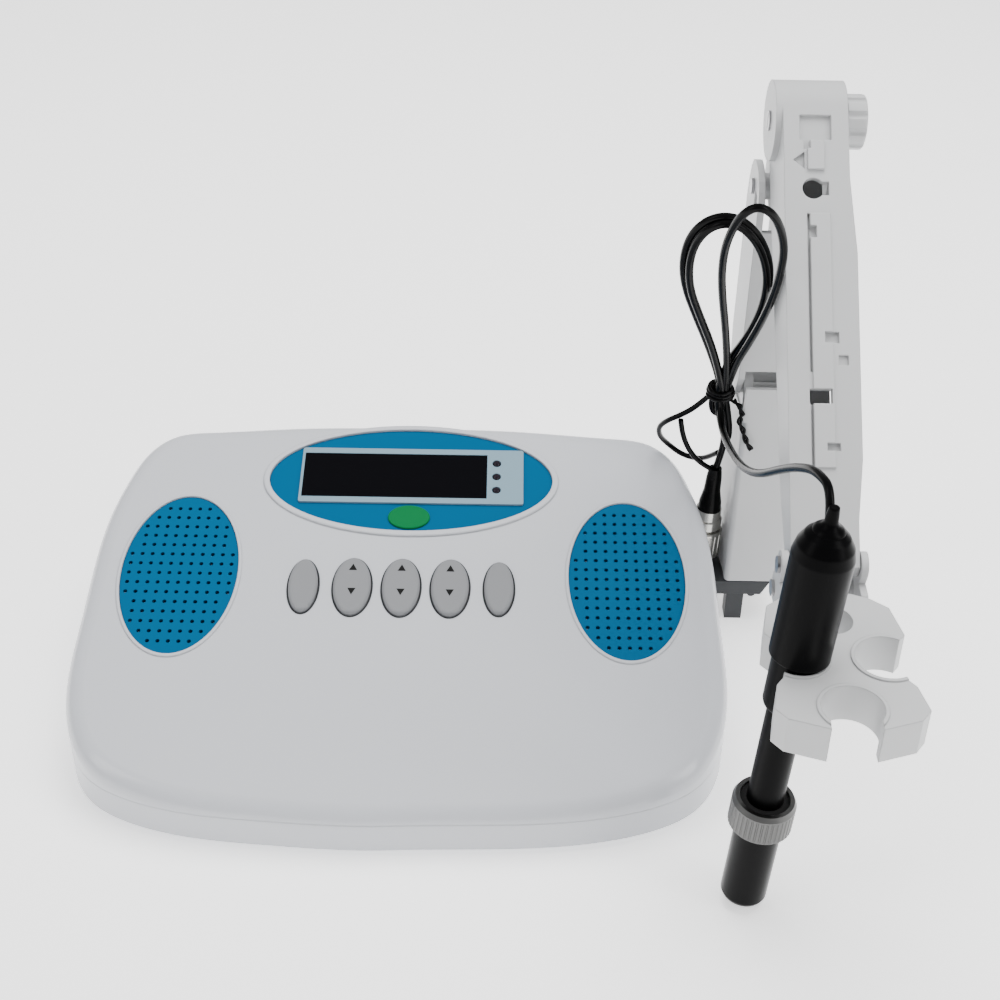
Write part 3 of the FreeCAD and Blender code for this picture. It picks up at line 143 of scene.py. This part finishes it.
LOOKS = {
    "case_white": material("case_white", (0.53, 0.545, 0.58),
                           0.24, coat=0.35, mottle=0.2, edge=0.0009),
    "panel_blue": material("panel_blue", (0.001, 0.090, 0.200), 0.5, shine=0.06),
    "frame_silver": material("frame_silver", (0.22, 0.33, 0.40), 0.4, metal=0.2, shine=0.2),
    "window_black": material("window_black", (0.002, 0.002, 0.003), 0.25, shine=0.06),
    "led_dark": material("led_dark", (0.010, 0.006, 0.012), 0.25, shine=0.3),
    "badge_green": material("badge_green", (0.001, 0.14, 0.040), 0.4, shine=0.1),
    "key_grey": material("key_grey", (0.205, 0.21, 0.22), 0.3, coat=0.25, edge=0.0005),
    "board_green": material("board_green", (0.02, 0.14, 0.06), 0.4),
    "chip_black": material("chip_black", (0.015, 0.015, 0.015), 0.5),
    "tin": material("tin", (0.6, 0.6, 0.58), 0.35, metal=1.0),
    "steel": material("steel", (0.42, 0.42, 0.43), 0.28, metal=1.0, bump=0.05),
    "rubber_black": material("rubber_black", (0.012, 0.012, 0.012), 0.7, shine=0.2, bump=0.1),
    "rear_grey": material("rear_grey", (0.16, 0.17, 0.19), 0.45, bump=0.15, edge=0.0004),
    "socket_black": material("socket_black", (0.012, 0.012, 0.013),
                             0.4, shine=0.3, bump=0.1, edge=0.0004),
    "nickel": material("nickel", (0.50, 0.49, 0.46), 0.2, metal=1.0),
    "arm_grey": material("arm_grey", (0.50, 0.505, 0.51),
                         0.36, shine=0.45, bump=0.05, mottle=0.15, edge=0.0006),
    "bracket_grey": material("bracket_grey", (0.040, 0.042, 0.045),
                             0.45, shine=0.2, bump=0.1, edge=0.0005),
    "cable_black": material("cable_black", (0.0012, 0.0012, 0.0014), 0.26, shine=0.1),
    "electrode_black": material("electrode_black", (0.0012, 0.0012, 0.0014),
                                0.32, shine=0.05, edge=0.0009),
    "bulb_glass": material("bulb_glass", (0.6, 0.66, 0.68), 0.05),
    "bottle_black": material("bottle_black", (0.0010, 0.0010, 0.0012), 0.18, shine=0.08),
    "ring_silver": material("ring_silver", (0.12, 0.12, 0.118), 0.34, metal=1.0, bump=0.1),
}
PRINT_BLACK = material("print_black", (0.008, 0.008, 0.008), 0.5, shine=0.2)
DARK_LINE = material("dark_line", (0.035, 0.037, 0.04), 0.6, shine=0.2)


def finish_cad_nodes():
    """Every CAD node gets the look of its material slot and smooth shading over its round faces."""
    slots = {part["node"]: part["material_slot"] for part in frame["record"]["subparts"]}
    for name, obj in NODES.items():
        obj.data.materials.clear()
        obj.data.materials.append(LOOKS[slots[name]])
        bpy.context.view_layer.objects.active = obj
        for polygon in obj.data.polygons:
            polygon.use_smooth = True
        obj.data.set_sharp_from_angle(angle=math.radians(28))


finish_cad_nodes()


# ---------------------------------------------------------------- mesh helpers
def mesh_object(name, vertices, faces, look, body, smooth=True, sharp=30):
    """A mesh in the row frame with a look, riding on a CAD body."""
    mesh = bpy.data.meshes.new(name)
    mesh.from_pydata([tuple(v) for v in vertices], [], faces)
    mesh.validate()
    obj = bpy.data.objects.new(name, mesh)
    bpy.context.collection.objects.link(obj)
    mesh.materials.append(LOOKS[look] if isinstance(look, str) else look)
    if smooth:
        for polygon in mesh.polygons:
            polygon.use_smooth = True
        mesh.set_sharp_from_angle(angle=math.radians(sharp))
    if body:
        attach(obj, body)
    return obj


def tube_mesh(points, radius, sides=14):
    """Vertices and faces of a round tube along points, with a frame that doesn't twist."""
    vertices, faces = [], []
    tangent = (points[1] - points[0]).normalized()
    side = tangent.orthogonal().normalized()
    for number, point in enumerate(points):
        ahead = points[min(number + 1, len(points) - 1)]
        behind = points[max(number - 1, 0)]
        heading = (ahead - behind).normalized()
        side = (side - heading * side.dot(heading)).normalized()
        up = heading.cross(side)
        for step in range(sides):
            angle = 2 * math.pi * step / sides
            vertices.append(point + (side * math.cos(angle) + up * math.sin(angle)) * radius)
    for ring in range(len(points) - 1):
        for step in range(sides):
            a, b = ring * sides + step, ring * sides + (step + 1) % sides
            faces.append((a, b, b + sides, a + sides))
    faces.append(tuple(reversed(range(sides))))
    faces.append(tuple(range((len(points) - 1) * sides, len(points) * sides)))
    return vertices, faces


# ---------------------------------------------------------------- cables
CABLE_D = 0.0026
LEAD_D = 0.0020


def nurbs_curve(name, route_mm, diameter):
    """A cord's centre line as a NURBS curve through its route."""
    data = bpy.data.curves.new(name, "CURVE")
    data.dimensions = "3D"
    data.resolution_u = 12
    data.bevel_depth = diameter / 2
    data.bevel_resolution = 5
    data.use_fill_caps = True
    spline = data.splines.new("NURBS")
    spline.points.add(len(route_mm) - 1)
    for point, place in zip(spline.points, route_mm):
        point.co = (*row(*place), 1.0)
    spline.order_u = 3
    spline.use_endpoint_u = True
    obj = bpy.data.objects.new(name, data)
    bpy.context.collection.objects.link(obj)
    data.materials.append(LOOKS["cable_black"])
    return obj


def centre_line(obj):
    """The points along a NURBS curve, without its thickness."""
    depth = obj.data.bevel_depth
    obj.data.bevel_depth = 0.0
    mesh = bpy.data.meshes.new_from_object(obj)
    obj.data.bevel_depth = depth
    points = [v.co.copy() for v in mesh.vertices]
    bpy.data.meshes.remove(mesh)
    return points


def line_length(points):
    return sum((b - a).length for a, b in zip(points, points[1:]))


ELECTRODE_LEAD = [(111.6, 46.6, 98.6), (111.8, 41.0, 91.2), (112.1, 31.0, 91.4),
                  (112.3, 16.0, 95.4), (112.5, -3.0, 102.4), (112.9, -21.0, 111.4),
                  (113.6, -38.0, 122.2), (115.2, -54.0, 134.6), (117.0, -69.0, 145.6),
                  (119.2, -82.5, 153.6), (121.9, -94.0, 154.4), (121.35, -97.0, 141.0)]
SIDE_LEAD = [(107.4, 46.2, 98.5), (103.6, 48.0, 92.8), (98.6, 50.6, 87.6), (94.4, 54.0, 83.2),
             (92.2, 59.5, 77.0), (93.4, 65.0, 69.5), (97.4, 69.5, 63.0), (102.8, 70.0, 58.2),
             (108.4, 66.6, 58.4), (112.0, 61.4, 62.6), (114.4, 55.6, 68.6)]
BRANCH_LEAD = [(98.9, 50.0, 86.0), (99.8, 50.8, 80.4), (102.4, 52.4, 73.0), (106.0, 54.4, 66.8),
               (110.2, 55.8, 62.4), (113.8, 56.2, 60.2)]
# the cable from the plug's boot: twice round the big loop, then once round the small one
BUNDLE = [(114.3, 56.0, 61.0), (115.2, 53.6, 68.5), (115.5, 50.4, 77.5), (114.2, 47.4, 88.0),
          (111.8, 45.2, 100.0), (109.0, 40.6, 111.2), (103.6, 33.7, 126.4), (97.2, 25.9, 142.3),
          (92.3, 20.3, 155.2), (90.3, 15.3, 166.3), (90.9, 10.5, 176.8), (94.5, 6.9, 184.0),
          (99.8, 4.8, 187.2), (105.7, 5.3, 185.9), (111.0, 7.0, 180.9), (115.7, 11.1, 172.4),
          (118.3, 15.3, 163.3), (119.0, 19.9, 153.3), (118.6, 24.8, 142.5), (116.5, 30.6, 130.4),
          (113.1, 36.9, 118.7), (110.8, 44.2, 104.8), (108.8, 46.6, 98.0), (109.4, 47.0, 92.0),
          (112.4, 46.4, 91.0), (112.8, 45.2, 98.0), (109.4, 38.6, 112.0), (104.6, 31.3, 127.4),
          (98.5, 23.5, 142.8), (93.7, 17.6, 155.6), (92.0, 12.4, 166.6), (92.7, 8.1, 176.2),
          (95.8, 4.7, 182.8), (100.3, 3.1, 185.6), (105.6, 3.4, 184.4), (110.4, 5.1, 179.4),
          (114.4, 8.8, 171.8), (117.0, 12.6, 162.9), (117.9, 17.2, 153.1), (117.2, 22.0, 142.9),
          (114.9, 28.2, 131.3), (111.7, 35.8, 119.5), (110.1, 42.0, 106.9), (110.6, 44.0, 97.0),
          (112.2, 43.8, 90.0), (113.9, 44.0, 84.0), (115.8, 45.4, 80.6), (116.2, 47.0, 84.4),
          (114.8, 46.2, 92.0), (112.8, 44.6, 101.0), (111.2, 35.2, 116.9), (107.1, 21.5, 139.0),
          (103.0, 10.2, 158.0), (101.0, 2.8, 170.1), (100.3, -4.0, 181.4), (101.1, -11.0, 191.1),
          (103.3, -15.5, 198.0), (107.1, -16.9, 200.3), (111.7, -15.3, 197.1),
          (115.5, -10.8, 189.5), (117.9, -5.6, 180.5), (118.7, 0.4, 170.4), (118.8, 7.2, 159.7),
          (117.9, 14.4, 147.7), (115.8, 23.1, 133.6), (113.2, 32.9, 118.9), (113.4, 44.6, 103.0)]


def ride_cord(name, route, diameter, node):
    """A cord that stays with the post, standing for its CAD solid."""
    curve = nurbs_curve(name, route, diameter)
    points = centre_line(curve)
    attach(curve, "post")
    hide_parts(node)


def split_cord(name, route, diameter, chain):
    """A cord across several joints: one line, cut into a tube for each joint it crosses."""
    curve = nurbs_curve(name, route, diameter)
    points = centre_line(curve)
    bpy.data.objects.remove(curve)
    total = line_length(points)
    cuts = [total * step / len(chain) for step in range(len(chain) + 1)]
    parts = [[] for _ in chain]
    travelled = 0.0
    current = 0
    parts[0].append(points[0])
    for before, after in zip(points, points[1:]):
        step = (after - before).length
        while current < len(chain) - 1 and travelled + step > cuts[current + 1]:
            share = (cuts[current + 1] - travelled) / step
            joint = before.lerp(after, share)
            parts[current].append(joint)
            current += 1
            parts[current].append(joint)
        travelled += step
        parts[current].append(after)
    tubes = []
    for number, ((a, b), line) in enumerate(zip(chain, parts)):
        vertices, faces = tube_mesh(line, diameter / 2)
        tube = mesh_object(f"{name}_{number + 1}", vertices, faces, "cable_black", None, sharp=60)
        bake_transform(tube)
        tubes.append(tube)
    return tubes


# ---------------------------------------------------------------- the tie round the bundle
TIE_WIRE_R_MM = 0.75
TIE_TURNS = 3
TIE_CENTRE_X, TIE_CENTRE_Y = 111.4, 45.4
TIE_LOW, TIE_RISE = 99.2, 4.0               # height of the first turn and the climb of all turns
TIE_REACH = 4.3                             # the turns' distance from the neck's centre
TIE_FLAT = 0.85                             # the neck is flatter from front to back
TAIL_R = 0.00055
TAIL_REACH = 0.0006                         # each strand's distance from the tail's centre
TIE_TAIL = [(115.5, 43.0, 99.3), (118.0, 41.5, 97.7), (119.3, 41.0, 94.2), (118.5, 41.0, 91.3),
            (120.2, 40.5, 87.7), (121.6, 40.0, 83.7), (123.7, 40.0, 80.2)]


def joined(parts):
    """Several (vertices, faces) pairs as one."""
    vertices, faces = [], []
    for part_vertices, part_faces in parts:
        start = len(vertices)
        vertices += part_vertices
        faces += [tuple(index + start for index in face) for face in part_faces]
    return vertices, faces


def add_tie():
    """Wire wound tightly round the neck of the bundle, its two ends twisted into a short tail."""
    wraps = []
    steps = 28 * TIE_TURNS
    for step in range(steps + 1):
        angle = 2 * math.pi * TIE_TURNS * step / steps - 0.6
        rise = TIE_LOW + TIE_RISE * step / steps + 0.9 * math.sin(angle)
        reach = TIE_REACH + 0.25 * math.sin(2.3 * angle)
        wraps.append(row(TIE_CENTRE_X + reach * math.cos(angle),
                         TIE_CENTRE_Y + TIE_FLAT * reach * math.sin(angle), rise))
    parts = [tube_mesh(wraps, TIE_WIRE_R_MM / 1000, sides=10)]
    route = [row(*place) for place in TIE_TAIL]
    smooth = []
    for before, after in zip(route, route[1:]):
        smooth += [before.lerp(after, share / 6) for share in range(6)]
    smooth.append(route[-1])
    for strand in (0, 1):
        twisted = []
        for number, point in enumerate(smooth):
            angle = 0.55 * number + math.pi * strand
            away = Vector((math.cos(angle), 0.5 * math.sin(angle), 0.4 * math.sin(angle)))
            twisted.append(point + away * TAIL_REACH)
        parts.append(tube_mesh(twisted, TAIL_R, sides=8))
    vertices, faces = joined(parts)
    tie = mesh_object("tie_wire", vertices, faces, "cable_black", "post", sharp=60)
    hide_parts("cable_tie")
    return tie


tie = add_tie()
ride_cord("cable_bundle", BUNDLE, CABLE_D, "cable_hank")
ride_cord("thin_lead", SIDE_LEAD, LEAD_D, "side_lead")
ride_cord("thin_branch", BRANCH_LEAD, LEAD_D, "branch_lead")
lead_tubes = split_cord("electrode_cable", ELECTRODE_LEAD, CABLE_D,
                        [("post", "lower_arm"), ("lower_arm", "elbow_block"),
                         ("elbow_block", "upper_arm"), ("upper_arm", "clip"),
                         ("clip", "electrode")])
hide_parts("electrode_lead")


# ---------------------------------------------------------------- small visible details
def lathe(name, profile, look, body, place, sides=40):
    """A surface turned from (radius, height) points; place(radius, angle, height) gives a point."""
    vertices, faces = [], []
    for r, up in profile:
        vertices += [place(r, 2 * math.pi * step / sides, up) for step in range(sides)]
    for ring in range(len(profile) - 1):
        for step in range(sides):
            a, b = ring * sides + step, ring * sides + (step + 1) % sides
            faces.append((a, b, b + sides, a + sides))
    faces.append(tuple(reversed(range(sides))))
    faces.append(tuple(range((len(profile) - 1) * sides, len(profile) * sides)))
    return mesh_object(name, vertices, faces, look, body, sharp=50)


def slope_prism(name, outline, n0, n1, look, body):
    """A flat shape on the console's top, as (x, s) points between two heights off the surface."""
    count = len(outline)
    vertices = [slope_point(x, s, n) for n in (n0, n1) for x, s in outline]
    faces = [tuple(reversed(range(count))), tuple(range(count, 2 * count))]
    faces += [(i, (i + 1) % count, count + (i + 1) % count, count + i) for i in range(count)]
    return mesh_object(name, vertices, faces, look, body, smooth=False)


def slope_ring(name, x, s, inner, outer, n, look, body, sides=64):
    """A thin oval line on the console's top between two pairs of half sizes."""
    vertices, faces = [], []
    for half_x, half_s in (inner, outer):
        for step in range(sides):
            angle = 2 * math.pi * step / sides
            along, across = s + half_s * math.sin(angle), x + half_x * math.cos(angle)
            vertices.append(slope_point(across, along, n))
    for step in range(sides):
        after = (step + 1) % sides
        faces.append((step, sides + step, sides + after, after))
    return mesh_object(name, vertices, faces, look, body, smooth=False)


KEY_S, KEY_PITCH, KEY_FIRST_X, KEY_TOP = 4.2, 17.3, -35.1, 1.8
ROCKING_KEYS = {"temperature": 1, "slope": 2, "standard": 3}
PUSH_KEY, ROCKING_KEY = (5.2, 11.3), (6.7, 12.2)      # half sizes
ARROW_UP_S, ARROW_DOWN_S, ARROW_HALF = 7.6, -2.9, 1.45
ARROW_BASE, ARROW_POINT, ARROW_HEIGHT = 1.35, 1.45, 0.05
JOINT_INSIDE, JOINT_OUTSIDE, JOINT_HEIGHT = 0.28, 0.66, 0.03


def add_key_marks():
    """Up and down arrows on the three middle keys, and the dark joint round all five."""
    for key, number in ROCKING_KEYS.items():
        x = KEY_FIRST_X + KEY_PITCH * number
        for label, s, way in (("up", KEY_S + ARROW_UP_S, 1), ("down", KEY_S + ARROW_DOWN_S, -1)):
            base = s - ARROW_BASE * way
            outline = [(x - ARROW_HALF, base), (x + ARROW_HALF, base), (x, s + ARROW_POINT * way)]
            if way < 0:
                outline.reverse()
            slope_prism(f"arrow_{label}_{key}", outline, KEY_TOP - ARROW_HEIGHT,
                        KEY_TOP + ARROW_HEIGHT, PRINT_BLACK, f"{key}_key")
    for number in range(5):
        half_x, half_s = PUSH_KEY if number in (0, 4) else ROCKING_KEY
        inner = (half_x + JOINT_INSIDE, half_s + JOINT_INSIDE)
        outer = (half_x + JOINT_OUTSIDE, half_s + JOINT_OUTSIDE)
        slope_ring(f"key_joint_{number + 1}", KEY_FIRST_X + KEY_PITCH * number, KEY_S, inner, outer,
                   JOINT_HEIGHT, DARK_LINE, "console")


# the strain relief on top of the electrode's cap, as (radius, height above the tip)
RELIEF = [(4.7, 141.0), (4.5, 141.9), (3.6, 142.7), (2.4, 143.4), (1.95, 144.6), (1.75, 147.2),
          (1.45, 149.0)]
add_key_marks()
lathe("lead_relief", RELIEF, "electrode_black", "electrode", electrode_point)


# ---------------------------------------------------------------- studio
FLOOR_HALF = 4.0
WORLD_LIGHT = 0.52
FLOOR_GLOW = 0.9


def add_floor():
    mesh = bpy.data.meshes.new("Floor")
    half = FLOOR_HALF
    corners = [(-half, -half, 0), (half, -half, 0), (half, half, 0), (-half, half, 0)]
    mesh.from_pydata(corners, [], [(0, 1, 2, 3)])
    floor = bpy.data.objects.new("Floor", mesh)
    bpy.context.collection.objects.link(floor)
    look = material("floor", (0.97, 0.97, 0.97), 0.9, shine=0.1)
    shader = look.node_tree.nodes["Principled BSDF"]
    shader.inputs["Emission Color"].default_value = (1, 1, 1, 1)
    shader.inputs["Emission Strength"].default_value = FLOOR_GLOW
    mesh.materials.append(look)


def add_area(name, place, target, size, power):
    data = bpy.data.lights.new(name, "AREA")
    data.shape = "RECTANGLE"
    data.size, data.size_y = size
    data.energy = power
    light = bpy.data.objects.new(name, data)
    light.location = place
    light.rotation_euler = (Vector(target) - Vector(place)).to_track_quat("-Z", "Y").to_euler()
    bpy.context.collection.objects.link(light)
    return light


def add_world():
    world = bpy.data.worlds.new("World")
    world.use_nodes = True
    background = world.node_tree.nodes["Background"]
    background.inputs["Color"].default_value = (1, 1, 1, 1)
    background.inputs["Strength"].default_value = WORLD_LIGHT
    bpy.context.scene.world = world


add_floor()
add_world()
top_light = add_area("Top", (0.15, 0.25, 1.35), (0.0, 0.0, 0.0), (1.3, 1.0), 30.0)
top_light.visible_glossy = False
add_area("Left", (-0.9, -0.4, 0.8), (0, 0, 0.05), (0.35, 0.9), 3.0)
add_area("Right", (1.0, -0.5, 0.7), (0.05, 0, 0.08), (0.35, 0.9), 5.0)
